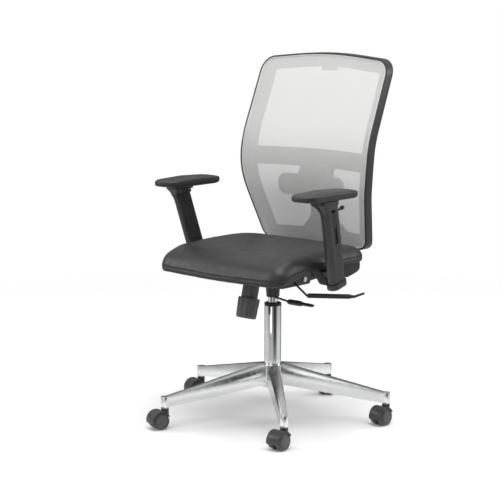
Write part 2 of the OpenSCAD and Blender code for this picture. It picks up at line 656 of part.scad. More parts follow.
module back_frame() color(black) difference() {
    union() {
        back_ring(0, rim_wall, 0, rim_depth);
        back_ring(2, flange_w, rim_depth - flange_t, rim_depth);
        cross_rail();
        bowed_rail(186, 502, 538, front_y(515) + rim_depth - flange_t, 236, 7);
        spine();
        head_tab();
    }
    back_screw_holes(4);
    for (x = [-tab_hole_x, tab_hole_x])
        translate([x, 0, tab_z]) rotate([-90, 0, 0]) cylinder(r = 3.2, h = far);
}

module back_mesh() color("#cfcfd0") intersection() {
    along_y(0, far) back_outline(rim_wall);
    side_band(1.5, 1.5 + mesh_t);
}

lumbar_low = 645;
lumbar_high = 708;
pad_face_y = 166;
module lumbar_support() color(black) {
    along_y(pad_face_y, pad_face_y + 10)
        polygon(rounded([[-125, lumbar_low], [125, lumbar_low], [125, lumbar_high], [-125, lumbar_high]],
                        [28, 28, 28, 28]));
    difference() {
        intersection() {
            along_x(-60, 60) polygon([[pad_face_y + 4, lumbar_high - 24], [pad_face_y + 10, lumbar_high - 24],
                                      [206, 736], [206, 772], [196, 772], [196, 742],
                                      [pad_face_y + 4, lumbar_high - 8]]);
            along_y(0, far) polygon(rounded([[-52, 680], [52, 680], [60, 772], [-60, 772]], [4, 4, 10, 10]));
        }
        cross_rail();
        spine();
    }
}

bar_line = [[128, 408], [spine_y(408) + 8, 408], [spine_y(612) + 8, 612], [spine_y(612), 612],
            [spine_y(416), 416], [128, 416]];
bar_radii = [1, 36, 3, 3, 28, 1];
cheek_line = [[58, 402], [96, 402], [176, 408], [176, 434], [136, 438], [60, 426]];

module back_bar() color(black) difference() {
    union() {
        along_x(-33, 33) polygon(rounded(bar_line, bar_radii));
        translate([-56, 128, 408]) cube([112, 48, 8]);
        for (x = [-56, 50]) along_x(x, x + 6) polygon(rounded(cheek_line, [8, 8, 6, 6, 12, 10]));
        translate([-74, link_pin.x, link_pin.y]) rotate([0, 90, 0]) cylinder(r = seat_pin_r, h = 148);
    }
    translate([-far / 2, recline_y, recline_z]) rotate([0, 90, 0]) cylinder(r = pin_r + run_gap, h = far);
    back_screw_holes(4);
}

module back_screws() color(steel) for (z = [530, 565, 600])
    translate([0, spine_y(z), z]) rotate([90 + atan(spine_slope), 0, 0]) {
        translate([0, 0, -8]) cylinder(r = 4, h = 16);
        translate([0, 0, -12]) cylinder(r1 = 6, r2 = 7.5, h = 4);
    }

// ---------------------------------------------------------------- casters
wheel_r = wheel_d / 2;
wheel_in = 5.4;      // from the middle of the caster to a wheel's inner face
wheel_out = 24.5;
axle_r = 3;
hood_gap = 1.4;
hood_start = -14;    // where the hood ends, just below the axle's height on the far side
hood_sweep = 168;
hood_t = 2.6;
web_half = 3;

module at_caster(i) rotate([0, 0, base_turn + 72 * (i - 1)]) translate([arm_reach, 0, 0])
    rotate([0, 0, caster_turns[i - 1] - base_turn - 72 * (i - 1)]) children();
module at_axle() translate([caster_trail, 0, wheel_r]) rotate([90, 0, 0]) children();

module caster_pins(i) color(steel) at_caster(i) {
    translate([0, 0, 50]) cylinder(r = stem_r - run_gap, h = tip_z - 50 + stem_l);
    translate([0, 0, 58]) cylinder(r = 8, h = 2.6);
    at_axle() translate([0, 0, -21]) cylinder(r = axle_r, h = 42);
}

module caster_hood(i) color(dark_plastic) at_caster(i) difference() {
    union() {
        at_axle() translate([0, 0, -23]) rotate_extrude(angle = hood_sweep, start = hood_start)
            polygon([[wheel_r + hood_gap, 0], [wheel_r + hood_gap + hood_t, 0],
                     [wheel_r + hood_gap + hood_t, 46], [wheel_r + hood_gap, 46]]);
        at_axle() translate([0, 0, -web_half]) rotate_extrude(angle = hood_sweep, start = hood_start)
            polygon([[5, 0], [wheel_r + hood_gap + 1, 0], [wheel_r + hood_gap + 1, 2 * web_half], [5, 2 * web_half]]);
        at_axle() translate([0, 0, -5.2]) cylinder(r = 7, h = 10.4);
        difference() {
            translate([0, 0, 40]) cylinder(r = 11.5, h = 18);
            at_axle() translate([0, 0, -30]) cylinder(r = wheel_r + hood_gap, h = 60);
        }
        translate([-8, -web_half, 30]) cube([16, 2 * web_half, 24]);
    }
    translate([0, 0, 50]) cylinder(r = stem_r - run_gap, h = 20);
    at_axle() translate([0, 0, -30]) cylinder(r = axle_r, h = 60);
}

// One wheel: hub bore from the inside, a closed dished face outside.
module wheel_solid() rotate_extrude($fn = 72)
    polygon([[axle_r + run_gap, 0], [7, 0], [7, 2], [20, 2], [20, 0], [wheel_r - 2, 0], [wheel_r, 2],
             [wheel_r, 14.5], [wheel_r - 2.5, 17], [19.5, 17.6], [19, 16.6], [18, 16.6], [17.5, 18],
             [0, 19.1], [0, 16.2], [axle_r + run_gap, 16.2]]);

module wheel(i, side) color(dark_plastic) at_caster(i) at_axle()
    mirror([0, 0, side < 0 ? 1 : 0]) translate([0, 0, wheel_in]) wheel_solid();

base_star();
column_tube();
guide_bush();
thrust_bearing();
piston_rod();
rod_clip();
gas_cylinder();
cone_cup();
release_button();
mechanism_housing();
pivot_pins();
tension_sleeve();
tension_spring();
tension_nut();
tension_screw();
tension_knob();
height_lever();
height_grip();
tilt_lever();
tilt_grip();
seat_plate();
seat_board();
seat_shell();
seat_cushion();
seat_screws();
arm_bracket(1);  // arm_bracket_left
arm_bracket(-1);  // arm_bracket_right
arm_post(1);  // arm_post_left
arm_post(-1);  // arm_post_right
arm_sleeve(1);  // arm_sleeve_left
arm_sleeve(-1);  // arm_sleeve_right
arm_trigger(1);  // arm_trigger_left
arm_trigger(-1);  // arm_trigger_right
arm_pad(1);  // arm_pad_left
arm_pad(-1);  // arm_pad_right
back_bar();
back_frame();
lumbar_support();
back_mesh();
back_screws();
caster_pins(1);  // caster_pins_1
caster_pins(2);  // caster_pins_2
caster_pins(3);  // caster_pins_3
caster_pins(4);  // caster_pins_4
caster_pins(5);  // caster_pins_5
caster_hood(1);  // caster_hood_1
caster_hood(2);  // caster_hood_2
caster_hood(3);  // caster_hood_3
caster_hood(4);  // caster_hood_4
caster_hood(5);  // caster_hood_5
wheel(1, 1);  // wheel_1a
wheel(2, 1);  // wheel_2a
wheel(3, 1);  // wheel_3a
wheel(4, 1);  // wheel_4a
wheel(5, 1);  // wheel_5a
wheel(1, -1);  // wheel_1b
wheel(2, -1);  // wheel_2b
wheel(3, -1);  // wheel_3b
wheel(4, -1);  // wheel_4b
wheel(5, -1);  // wheel_5b
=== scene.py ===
"""Swivel office chair: polished star base on twin-wheel casters, gas lift, leatherette seat, mesh back."""

import json
import math

import bpy
from mathutils import Matrix, Vector, noise

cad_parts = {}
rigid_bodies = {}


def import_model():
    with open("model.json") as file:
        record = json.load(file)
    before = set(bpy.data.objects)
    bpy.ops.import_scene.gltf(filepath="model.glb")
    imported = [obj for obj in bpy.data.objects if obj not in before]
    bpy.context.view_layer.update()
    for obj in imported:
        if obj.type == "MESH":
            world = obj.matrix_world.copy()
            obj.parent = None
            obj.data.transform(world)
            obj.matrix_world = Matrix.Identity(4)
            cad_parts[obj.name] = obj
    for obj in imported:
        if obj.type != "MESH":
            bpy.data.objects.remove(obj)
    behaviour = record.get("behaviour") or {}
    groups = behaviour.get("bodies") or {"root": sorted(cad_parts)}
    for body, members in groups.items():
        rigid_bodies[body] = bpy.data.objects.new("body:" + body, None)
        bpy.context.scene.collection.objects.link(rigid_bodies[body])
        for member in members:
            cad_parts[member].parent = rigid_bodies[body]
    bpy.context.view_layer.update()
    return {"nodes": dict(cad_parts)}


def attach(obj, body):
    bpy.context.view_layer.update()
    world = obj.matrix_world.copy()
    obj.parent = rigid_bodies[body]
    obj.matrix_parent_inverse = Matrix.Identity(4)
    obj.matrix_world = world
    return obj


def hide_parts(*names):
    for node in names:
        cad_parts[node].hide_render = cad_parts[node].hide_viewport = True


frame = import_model()

# ------------------------------------------------------------------ star base
# The five-armed foot: one aluminium die casting, hollow below, tumbled and then
# polished, with softened edges along the arms and a round boss at each tip.
ALUMINIUM = (0.80, 0.805, 0.81, 1)
DULLED = 0.9


def select_only(piece):
    for other in bpy.context.view_layer.objects:
        other.select_set(False)
    piece.select_set(True)
    bpy.context.view_layer.objects.active = piece


def apply_modifier(piece, kind, **settings):
    modifier = piece.modifiers.new(kind.title(), kind)
    for name, value in settings.items():
        setattr(modifier, name, value)
    select_only(piece)
    bpy.ops.object.modifier_apply(modifier=modifier.name)


def soften(piece, edge, steps=2, sharp=30, smooth=38):
    """Rounds the edges that are sharper than a limit, and shades the rest smooth."""
    if edge:
        apply_modifier(piece, "BEVEL", width=edge, segments=steps, limit_method="ANGLE",
                       angle_limit=math.radians(sharp), use_clamp_overlap=True, miter_outer="MITER_ARC")
    select_only(piece)
    bpy.ops.object.shade_smooth_by_angle(angle=math.radians(smooth))
    return piece


def eased_copy(node, name, edge, steps=2):
    """A copy of a moulded or machined part with its triangles joined up and its edges eased."""
    piece = bpy.data.objects.new(name, frame["nodes"][node].data.copy())
    bpy.context.scene.collection.objects.link(piece)
    select_only(piece)
    bpy.ops.object.mode_set(mode="EDIT")
    bpy.ops.mesh.select_all(action="SELECT")
    bpy.ops.mesh.remove_doubles(threshold=0.00002)
    bpy.ops.mesh.dissolve_limited(angle_limit=math.radians(0.6))
    bpy.ops.object.mode_set(mode="OBJECT")
    return soften(piece, edge, steps)


def fit(piece, body, slot, finish, *nodes):
    """Gives a piece its finish and its body, and hides the CAD nodes it stands for. The slot argument is not
    used.
    """
    piece.data.materials.clear()
    piece.data.materials.append(finish)
    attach(piece, body)
    if nodes:
        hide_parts(*nodes)
    return piece


def new_finish(name, **constants):
    """A finish whose constants stand on its shader's own sockets."""
    finish = bpy.data.materials.new(name)
    finish.use_nodes = True
    shader = finish.node_tree.nodes["Principled BSDF"]
    for socket, value in constants.items():
        shader.inputs[socket.replace("_", " ")].default_value = value
    return finish


def add_node(finish, kind, inputs=(), **settings):
    """Adds a shader node, sets its settings, and sets or links its inputs."""
    node = finish.node_tree.nodes.new(kind)
    for name, value in settings.items():
        setattr(node, name, value)
    for key, value in dict(inputs).items():
        if isinstance(value, bpy.types.NodeSocket):
            finish.node_tree.links.new(value, node.inputs[key])
        else:
            node.inputs[key].default_value = value
    return node


def link(finish, socket, name):
    finish.node_tree.links.new(socket, finish.node_tree.nodes["Principled BSDF"].inputs[name])


def place(finish, stretch=(1, 1, 1)):
    """Coordinates of the piece itself, in metres, stretched along its axes."""
    coordinates = add_node(finish, "ShaderNodeTexCoord")
    return add_node(finish, "ShaderNodeMapping",
                    {"Vector": coordinates.outputs["Object"], "Scale": stretch}).outputs["Vector"]


def cloud(finish, where, scale, detail=3.0, roughness=0.55):
    return add_node(finish, "ShaderNodeTexNoise", {"Vector": where, "Scale": scale, "Detail": detail,
                                                   "Roughness": roughness}).outputs["Fac"]


def spread(finish, value, low, high, start=0.3, end=0.7):
    """Turns a pattern's value into a range of its own."""
    return add_node(finish, "ShaderNodeMapRange", {"Value": value, "From Min": start, "From Max": end,
                                                   "To Min": low, "To Max": high}).outputs["Result"]


def tinted(finish, value, dark, light):
    mix = add_node(finish, "ShaderNodeMix", {"Factor": value}, data_type="RGBA")
    mix.inputs["A"].default_value = (*dark, 1)
    mix.inputs["B"].default_value = (*light, 1)
    return mix.outputs["Result"]


def raised(finish, height, distance, strength=1.0, under=None):
    inputs = {"Height": height, "Distance": distance, "Strength": strength}
    if under is not None:
        inputs["Normal"] = under
    return add_node(finish, "ShaderNodeBump", inputs).outputs["Normal"]


def metal_finish(name, color, roughness, brushed, waviness, stretch=(1, 1, 1)):
    """Bare metal: long soft waves from casting or drawing, fine lines from the polishing wheel."""
    finish = new_finish(name, Metallic=1.0, IOR=1.5)
    where = place(finish)
    along = place(finish, stretch)
    lines = cloud(finish, along, 900, 2.0)
    waves = cloud(finish, where, 22, 2.0)
    stains = cloud(finish, where, 60, 4.0)
    dull = [value * DULLED for value in color[:3]]
    link(finish, tinted(finish, spread(finish, stains, 0, 1), dull, color[:3]), "Base Color")
    link(finish, spread(finish, stains, roughness * 0.75, roughness * 1.4), "Roughness")
    relief = raised(finish, lines, brushed, 0.5)
    link(finish, raised(finish, waves, waviness, 0.6, relief), "Normal")
    return finish


aluminium = metal_finish("polished_casting", ALUMINIUM, 0.17, 0.00003, 0.0006)
fit(eased_copy("base_star", "star_casting", 0.0016, 3), "base", "polished_aluminium", aluminium,
    "base_star")

# ------------------------------------------------------------------ column
# The gas lift's fixed tube: drawn steel, chromed, pressed into the foot. A black guide
# bush closes its top; the rod, its clip and the thrust bearing sit inside at the bottom.
CHROME = (0.82, 0.83, 0.84, 1)
ROUND = 96
ON_AXIS = 0.002


def turned(name, rings, steps=ROUND, stretch=0.0):
    """A part turned on a lathe: a circle drawn up ring by ring. rings holds (radius, height) in mm, and
    comes back to its start or begins and ends on the axis. stretch pulls the two halves apart along Y."""
    rings = [(max(radius, ON_AXIS), height) for radius, height in rings]
    bpy.ops.object.select_all(action="DESELECT")
    bpy.ops.mesh.primitive_circle_add(vertices=steps, radius=rings[0][0] / 1000, fill_type="NOTHING",
                                      location=(0, 0, rings[0][1] / 1000))
    piece = bpy.context.object
    piece.name = name
    bpy.ops.object.transform_apply(location=True, rotation=True, scale=True)
    bpy.ops.object.mode_set(mode="EDIT")
    bpy.ops.mesh.select_all(action="SELECT")
    for before, after in zip(rings, rings[1:]):
        rise = (after[1] - before[1]) / 1000
        bpy.ops.mesh.extrude_edges_move(TRANSFORM_OT_translate={"value": (0, 0, rise)})
        ratio = after[0] / before[0]
        bpy.ops.transform.resize(value=(ratio, ratio, 1), center_override=(0, 0, 0))
    bpy.ops.mesh.select_all(action="SELECT")
    bpy.ops.mesh.remove_doubles(threshold=0.000005)
    bpy.ops.mesh.normals_make_consistent(inside=False)
    bpy.ops.object.mode_set(mode="OBJECT")
    if stretch:
        for vertex in piece.data.vertices:
            if abs(vertex.co.y) > 0.00001:
                vertex.co.y += math.copysign(stretch / 1000, vertex.co.y)
    return piece


def coat_node(node, finish):
    """A part that keeps its CAD shape gets its finish."""
    frame["nodes"][node].data.materials.clear()
    frame["nodes"][node].data.materials.append(finish)


chrome = metal_finish("chromed_tube", CHROME, 0.07, 0.00001, 0.00008, (0.2, 0.2, 6))
zinc = metal_finish("zinc_plated_steel", (0.62, 0.63, 0.65, 1), 0.3, 0.00002, 0.0001)
tube_outline = [(8, 94), (23.4, 94), (24.2, 130), (25, 167), (25, 336.4), (24.4, 337), (23, 337),
                (23, 167), (21.4, 97), (8, 97), (8, 94)]
tube = soften(turned("column_tube.chromed", tube_outline), 0.0004)
fit(tube, "base", "chrome_steel", chrome, "column_tube")


DUST = (0.36, 0.35, 0.33, 1)


def plastic_finish(name, dark, light, roughness=0.46, grain=0.00005, size=1500, dust=0.0, dust_top=0.05):
    """Moulded plastic: a fine spark-eroded grain, faint flow shading, and a little dust low down."""
    finish = new_finish(name, IOR=1.46, Specular_IOR_Level=0.42)
    where = place(finish)
    fine = cloud(finish, where, size, 2.0, 0.6)
    flow = cloud(finish, where, 14, 3.0)
    color = tinted(finish, spread(finish, flow, 0, 1), dark, light)
    if dust:
        height = add_node(finish, "ShaderNodeSeparateXYZ", {"Vector": where}).outputs["Z"]
        low = spread(finish, height, dust, 0, 0.0, dust_top)
        film = add_node(finish, "ShaderNodeMix", {"Factor": low, "A": color}, data_type="RGBA")
        film.inputs["B"].default_value = DUST
        color = film.outputs["Result"]
    link(finish, color, "Base Color")
    rubbed = cloud(finish, where, 90, 3.0)
    link(finish, spread(finish, rubbed, roughness * 0.85, roughness * 1.15), "Roughness")
    link(finish, raised(finish, fine, grain, 0.8), "Normal")
    return finish


black_plastic = plastic_finish("black_moulding", (0.014, 0.014, 0.0145), (0.02, 0.02, 0.0205), 0.42)
collar = [(14.1, 262), (23, 262), (23, 337), (25.4, 337), (25.4, 343.5), (23.4, 346), (14.1, 346),
          (14.1, 262)]
fit(soften(turned("guide_bush.collar", collar), 0.0005), "base", "dark_plastic", black_plastic,
    "guide_bush")
for node in ["thrust_bearing", "piston_rod", "rod_clip", "release_button"]:
    coat_node(node, zinc)

# ------------------------------------------------------------------ casters
# Five twin-wheel casters: hard nylon wheels with a shallow domed cap and a ring groove,
# a hood moulded in one piece with the middle web, and a plated stem and axle.
WHEEL_R, AXLE_Z, TRAIL = 25.0, 25.0, 21.0
HOOD_START, HOOD_SWEEP = -14, 168
CASTER_TURNS = [267, 302, 252, 252, 270]
ARM_TURN, STEM_REACH = 28.5, 0.34
CAP_R, CAP_FROM = 0.0185, 0.0215
wheel_plastic = plastic_finish("wheel_nylon", (0.045, 0.045, 0.046), (0.06, 0.06, 0.061), 0.42, 0.00004, 1400,
                               dust=0.25, dust_top=0.012)
cap_plastic = plastic_finish("wheel_cap", (0.066, 0.066, 0.067), (0.084, 0.084, 0.085), 0.36, 0.00004, 1400)
hood_plastic = plastic_finish("caster_moulding", (0.036, 0.036, 0.037), (0.05, 0.05, 0.051), 0.38, 0.00005,
                              1400)


def caster_place(i):
    """Where caster i stands and which way it trails: its own X runs from the stem to the axle."""
    arm = math.radians(ARM_TURN + 72 * (i - 1))
    return (Matrix.Translation((STEM_REACH * math.cos(arm), STEM_REACH * math.sin(arm), 0))
            @ Matrix.Rotation(math.radians(CASTER_TURNS[i - 1]), 4, "Z"))


AXLE = Matrix.Translation((TRAIL / 1000, 0, AXLE_Z / 1000)) @ Matrix.Rotation(math.pi / 2, 4, "X")


def copied(piece, name, matrix):
    """Another of the same part, with its own mesh. A mirrored one is turned right side out."""
    other = bpy.data.objects.new(name, piece.data.copy())
    bpy.context.scene.collection.objects.link(other)
    other.data.transform(matrix)
    if matrix.determinant() < 0:
        other.data.flip_normals()
    return other


wheel_outline = [(0, 21.6), (3.05, 21.6), (3.05, 5.4), (7, 5.4), (7, 7.4), (20, 7.4), (20, 5.4), (22.6, 5.4),
                 (24.2, 6.0), (25, 7.6), (25, 13), (25, 19.2), (24.4, 21.2), (22.8, 22.4), (20.9, 22.9),
                 (20.3, 22.6), (19.9, 21.7), (19.3, 21.4), (18.7, 21.7), (18.3, 22.7), (17.6, 23.25),
                 (14, 23.9), (9, 24.35), (4, 24.48), (0, 24.5)]
wheel_master = turned("wheel_master", wheel_outline)
soften(wheel_master, 0, smooth=28)
for material in [wheel_plastic, cap_plastic]:
    wheel_master.data.materials.append(material)
for face in wheel_master.data.polygons:
    middle = face.center
    face.material_index = int(math.hypot(middle.x, middle.y) < CAP_R and middle.z > CAP_FROM)


def swept(name, low, high, half, turn, corner=0.0, steps=40):
    """A flat bar, low to high mm from the Z axis and 2 * half wide, spun through an angle from HOOD_START."""
    bpy.ops.object.select_all(action="DESELECT")
    bpy.ops.mesh.primitive_plane_add(size=1, rotation=(math.pi / 2, 0, 0),
                                     location=((low + high) / 2000, 0, 0))
    piece = bpy.context.object
    piece.name = name
    piece.scale = ((high - low) / 1000, 2 * half / 1000, 1)
    bpy.ops.object.transform_apply(location=True, rotation=True, scale=True)
    bpy.ops.object.mode_set(mode="EDIT")
    bpy.ops.mesh.select_all(action="SELECT")
    if corner:
        bpy.ops.mesh.bevel(offset=corner / 1000, segments=4, affect="VERTICES")
    bpy.ops.mesh.spin(steps=steps, angle=-math.radians(turn), center=(0, 0, 0), axis=(0, 0, 1))
    bpy.ops.mesh.select_all(action="SELECT")
    bpy.ops.mesh.remove_doubles(threshold=0.000005)
    bpy.ops.mesh.normals_make_consistent(inside=False)
    bpy.ops.object.mode_set(mode="OBJECT")
    piece.data.transform(Matrix.Rotation(math.radians(HOOD_START), 4, "Z"))
    return piece


def combined(piece, other, how="UNION"):
    """Welds another solid on, or cuts its shape away."""
    apply_modifier(piece, "BOOLEAN", object=other, operation=how, solver="EXACT")
    bpy.data.objects.remove(other)
    return piece


HOOD_GAP, HOOD_T = 1.4, 2.6
HOOD_INSIDE = WHEEL_R + HOOD_GAP
hood_master = swept("hood_master", HOOD_INSIDE, HOOD_INSIDE + HOOD_T, 23, HOOD_SWEEP, 1.1)
combined(hood_master, swept("web", 5, HOOD_INSIDE + 1, 3, HOOD_SWEEP))
combined(hood_master, turned("boss", [(0, -5.2), (7, -5.2), (7, 5.2), (0, 5.2)], 48))
hood_master.data.transform(AXLE)
neck = turned("neck", [(0, 40), (11.5, 40), (11.5, 56.6), (10.6, 58), (0, 58)], 64)
room = turned("room", [(0, -30), (HOOD_INSIDE, -30), (HOOD_INSIDE, 30), (0, 30)], 80)
room.data.transform(AXLE)
combined(neck, room, "DIFFERENCE")
combined(hood_master, neck)
soften(hood_master, 0.0004, 2)

for i in range(1, 6):
    here = caster_place(i)
    fit(copied(hood_master, f"caster_hood_{i}.moulding", here), f"caster_{i}", "caster_plastic",
        hood_plastic, f"caster_hood_{i}")
    coat_node(f"caster_pins_{i}", zinc)
    for letter, side in (("a", 1), ("b", -1)):
        facing_out = Matrix.Diagonal((1, 1, side, 1))
        wheel = copied(wheel_master, f"wheel_{i}{letter}.nylon", here @ AXLE @ facing_out)
        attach(wheel, f"wheel_{i}{letter}")
        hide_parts(f"wheel_{i}{letter}")
bpy.data.objects.remove(wheel_master)
bpy.data.objects.remove(hood_master)

# ------------------------------------------------------------------ gas cylinder
# The moving cylinder: ground and chromed steel with a slight taper at the top, held in a
# pressed black cup that is welded under the tilt mechanism.
cylinder_outline = [(0, 130), (14, 130), (14, 363), (13, 405), (0, 405)]
cylinder = soften(turned("gas_cylinder.chromed", cylinder_outline), 0.0004)
fit(cylinder, "chassis", "chrome_steel", chrome, "gas_cylinder")


def painted_finish(name, dark, light, roughness=0.42):
    """Powder coat on steel: an orange-peel skin, thinner and a little worn on the high spots."""
    finish = new_finish(name, IOR=1.5, Specular_IOR_Level=0.45)
    where = place(finish)
    flow, worn = cloud(finish, where, 40, 4.0), cloud(finish, where, 160, 3.0)
    link(finish, tinted(finish, spread(finish, flow, 0, 1), dark, light), "Base Color")
    link(finish, spread(finish, worn, roughness * 0.8, roughness * 1.25), "Roughness")
    skin = raised(finish, cloud(finish, where, 520, 1.0), 0.00007, 0.7)
    link(finish, raised(finish, cloud(finish, where, 1800, 1.0), 0.00002, 0.6, skin), "Normal")
    return finish


powder_coat = painted_finish("black_powder_coat", (0.018, 0.018, 0.019), (0.027, 0.027, 0.028))
cup_outline = [(14, 363), (18.4, 363), (19.2, 364), (21, 391.2), (22.4, 392), (29, 392), (29, 396),
               (22, 396), (22, 405), (13, 405), (14, 363)]
fit(soften(turned("cone_cup.pressed", cup_outline), 0.0006), "chassis", "black_steel", powder_coat,
    "cone_cup")

# ------------------------------------------------------------------ tilt mechanism
# A pressed steel tray with a sloping nose, powder coated black, with two plated cross
# pins: the seat turns on the front one and the back on the rear one.
fit(eased_copy("mechanism_housing", "mechanism_tray", 0.0008, 3), "chassis", "black_steel", powder_coat,
    "mechanism_housing")
fit(eased_copy("pivot_pins", "pivot_pins.plated", 0.0004), "chassis", "bright_steel", zinc, "pivot_pins")

# ------------------------------------------------------------------ tilt spring and its knob
# A sleeve under the tray holds a coil spring and a square nut. Turning the fluted knob
# draws the nut up the screw and stiffens the tilt.
SCREW = Matrix.Translation((0, -0.094, 0.41255)) @ Matrix.Rotation(math.radians(-14.5), 4, "X")
SLEEVE_L, SLEEVE_R = 52, 24
knob_plastic = plastic_finish("knob_moulding", (0.066, 0.066, 0.067), (0.088, 0.088, 0.089), 0.33, 0.00004)


def at_place(piece, matrix):
    piece.data.transform(matrix)
    return piece


sleeve_outline = [(6.05, -SLEEVE_L), (22.8, -SLEEVE_L), (SLEEVE_R, -50.8), (SLEEVE_R, -1), (23.4, 0),
                  (21, 0), (21, -48), (6.05, -48), (6.05, -SLEEVE_L)]
sleeve = soften(turned("tension_sleeve.moulding", sleeve_outline), 0.0003)
fit(at_place(sleeve, SCREW), "chassis", "dark_plastic", knob_plastic, "tension_sleeve")

FLUTES, FLUTE_REACH, FLUTE_R, FLUTES_FROM = 12, 34.0, 5.0, 0.026
FLUTE_STEP, FIRST_FLUTE = 360 / FLUTES, 15
knob_outline = [(0, -100.9), (14, -100.9), (24, -100.4), (27.4, -99.6), (29.3, -97), (29.8, -92),
                (30.3, -80), (30.8, -66), (31.4, -52), (31.7, -45), (31.4, -42), (30.2, -40.2), (28, -40),
                (24.5, -40), (24.5, -52.5), (6, -52.5), (6, -87), (0, -87)]
knob = turned("tension_knob.fluted", knob_outline, 240)
for vertex in knob.data.vertices:
    radius, turn = math.hypot(vertex.co.x, vertex.co.y), math.atan2(vertex.co.y, vertex.co.x)
    off = (math.degrees(turn) - FIRST_FLUTE) % FLUTE_STEP
    off = math.radians(min(off, FLUTE_STEP - off))
    across = FLUTE_REACH * math.sin(off)
    if radius > FLUTES_FROM and across < FLUTE_R:
        limit = (FLUTE_REACH * math.cos(off) - math.sqrt(FLUTE_R ** 2 - across ** 2)) / 1000
        if limit < radius:
            vertex.co.x *= limit / radius
            vertex.co.y *= limit / radius
soften(knob, 0, smooth=32)
fit(at_place(knob, SCREW), "knob", "dark_plastic", knob_plastic, "tension_knob")
for node in ["tension_spring", "tension_nut", "tension_screw"]:
    coat_node(node, zinc)

# ------------------------------------------------------------------ levers
# Two bent steel rods come out on the sitter's left. The short one presses the gas lift's
# button and has a waisted grip; the long one locks the tilt and has a flat paddle.
lever_plastic = plastic_finish("lever_moulding", (0.018, 0.018, 0.0185), (0.026, 0.026, 0.0265), 0.36,
                               0.00004)
fit(eased_copy("height_lever", "height_lever.bent", 0.0004), "height_control", "black_steel", powder_coat,
    "height_lever")
grip_outline = [(0, 12.4), (3.05, 12.4), (3.05, 0.2), (5.4, 0), (6.4, 1), (7.4, 3.2), (8, 6), (8, 30),
                (7.9, 44), (7.2, 48.5), (6.1, 52.5), (5.5, 57), (5.5, 61), (6.1, 65.5), (6.6, 70), (6.7, 82),
                (6.3, 88), (5.2, 92.5), (3.4, 95.8), (1.6, 96.9), (0, 97)]
WAIST, FLATTENED, FLAT_AFTER = 0.052, 0.3, 0.02
grip = turned("height_grip.moulding", grip_outline, 64)
for vertex in grip.data.vertices:
    if vertex.co.z > WAIST:
        vertex.co.x *= 1 - FLATTENED * min(1, (vertex.co.z - WAIST) / FLAT_AFTER)
soften(grip, 0, smooth=45)
fit(at_place(grip, Matrix.Translation((0.084, -0.028, 0.362)) @ Matrix.Rotation(math.pi / 2, 4, "Y")),
    "height_control", "dark_plastic", lever_plastic, "height_grip")
fit(eased_copy("tilt_lever", "tilt_lever.bent", 0.0003), "tilt_control", "black_steel", powder_coat,
    "tilt_lever")
fit(eased_copy("tilt_grip", "tilt_grip.moulding", 0.0022, 4), "tilt_control", "dark_plastic", lever_plastic,
    "tilt_grip")

# ------------------------------------------------------------------ seat pan
# A folded steel plate with two side rails carries a moulded beech board. A plastic shell
# closes the underside behind, and wood screws come up through plate and brackets.
fit(eased_copy("seat_plate", "seat_plate.folded", 0.0006), "seat", "black_steel", powder_coat, "seat_plate")


def ply_finish():
    """Dark-stained beech plywood: long grain along the board, and thin glue lines on the edges."""
    finish = new_finish("beech_ply", Roughness=0.62, IOR=1.45)
    where = place(finish, (26, 3.2, 40))
    grain = cloud(finish, where, 9, 6.0, 0.6)
    layers = add_node(finish, "ShaderNodeTexWave", {"Vector": place(finish, (0, 0, 1)), "Scale": 110.0,
                                                    "Distortion": 0.4}, bands_direction="Z").outputs["Fac"]
    both = add_node(finish, "ShaderNodeMath", {0: grain, 1: spread(finish, layers, -0.08, 0.08, 0, 1)},
                    operation="ADD")
    color = tinted(finish, spread(finish, both.outputs["Value"], 0, 1), (0.045, 0.034, 0.026),
                   (0.10, 0.078, 0.06))
    link(finish, color, "Base Color")
    link(finish, raised(finish, grain, 0.0002, 0.5), "Normal")
    return finish


fit(eased_copy("seat_board", "seat_board.beech", 0.0012), "seat", "plywood", ply_finish(), "seat_board")
fit(eased_copy("seat_shell", "seat_shell.moulding", 0.0018, 3), "seat", "dark_plastic", black_plastic,
    "seat_shell")
coat_node("seat_screws", zinc)

# ------------------------------------------------------------------ seat cushion
# Moulded foam under black leatherette. The top panel rolls over a soft edge down to a
# welted seam; below it a narrow boxing band is pulled under the board and stapled.
SEAT_PLAN = [(-238, -246), (0, -257), (238, -246), (240, 165), (0, 185), (-240, 165)]
SEAT_RADII = [42, 900, 42, 80, 700, 80]
UNDER_EDGE = [(-274, 439), (-172, 461), (-95, 477), (220, 477)]
BAND_H, ROLL_R, SWELL = 16.0, 40.0, 0.003
LEATHERETTE_DARK, LEATHERETTE_LIGHT = (0.0135, 0.0135, 0.0137), (0.0195, 0.0195, 0.0198)


def rounded_outline(points, radii, inset=0.0, steps=10):
    """A closed outline in mm: a polygon whose corners are replaced by arcs, moved inwards by inset."""
    count, moved, outline = len(points), [], []
    for i in range(count):
        at = Vector(points[i])
        before = (Vector(points[i - 1]) - at).normalized()
        after = (Vector(points[(i + 1) % count]) - at).normalized()
        half = before.angle(after) / 2
        moved.append(at + (before + after).normalized() * inset / math.sin(half))
    for i in range(count):
        at, radius = moved[i], max(radii[i] - inset, 1)
        before, after = (moved[i - 1] - at).normalized(), (moved[(i + 1) % count] - at).normalized()
        half = before.angle(after) / 2
        centre = at + (before + after).normalized() * radius / math.sin(half)
        start = at + before * radius / math.tan(half) - centre
        end = at + after * radius / math.tan(half) - centre
        sweep = start.angle_signed(end)
        outline += [centre + Matrix.Rotation(-sweep * k / steps, 2) @ start for k in range(steps + 1)]
    return outline


def resampled(outline, step):
    """The same closed line with points at an even distance."""
    points, spare = [], 0.0
    for a, b in zip(outline, outline[1:] + outline[:1]):
        length, at = (b - a).length, spare
        while at < length:
            points.append(a.lerp(b, at / length))
            at += step
        spare = at - length
    return points


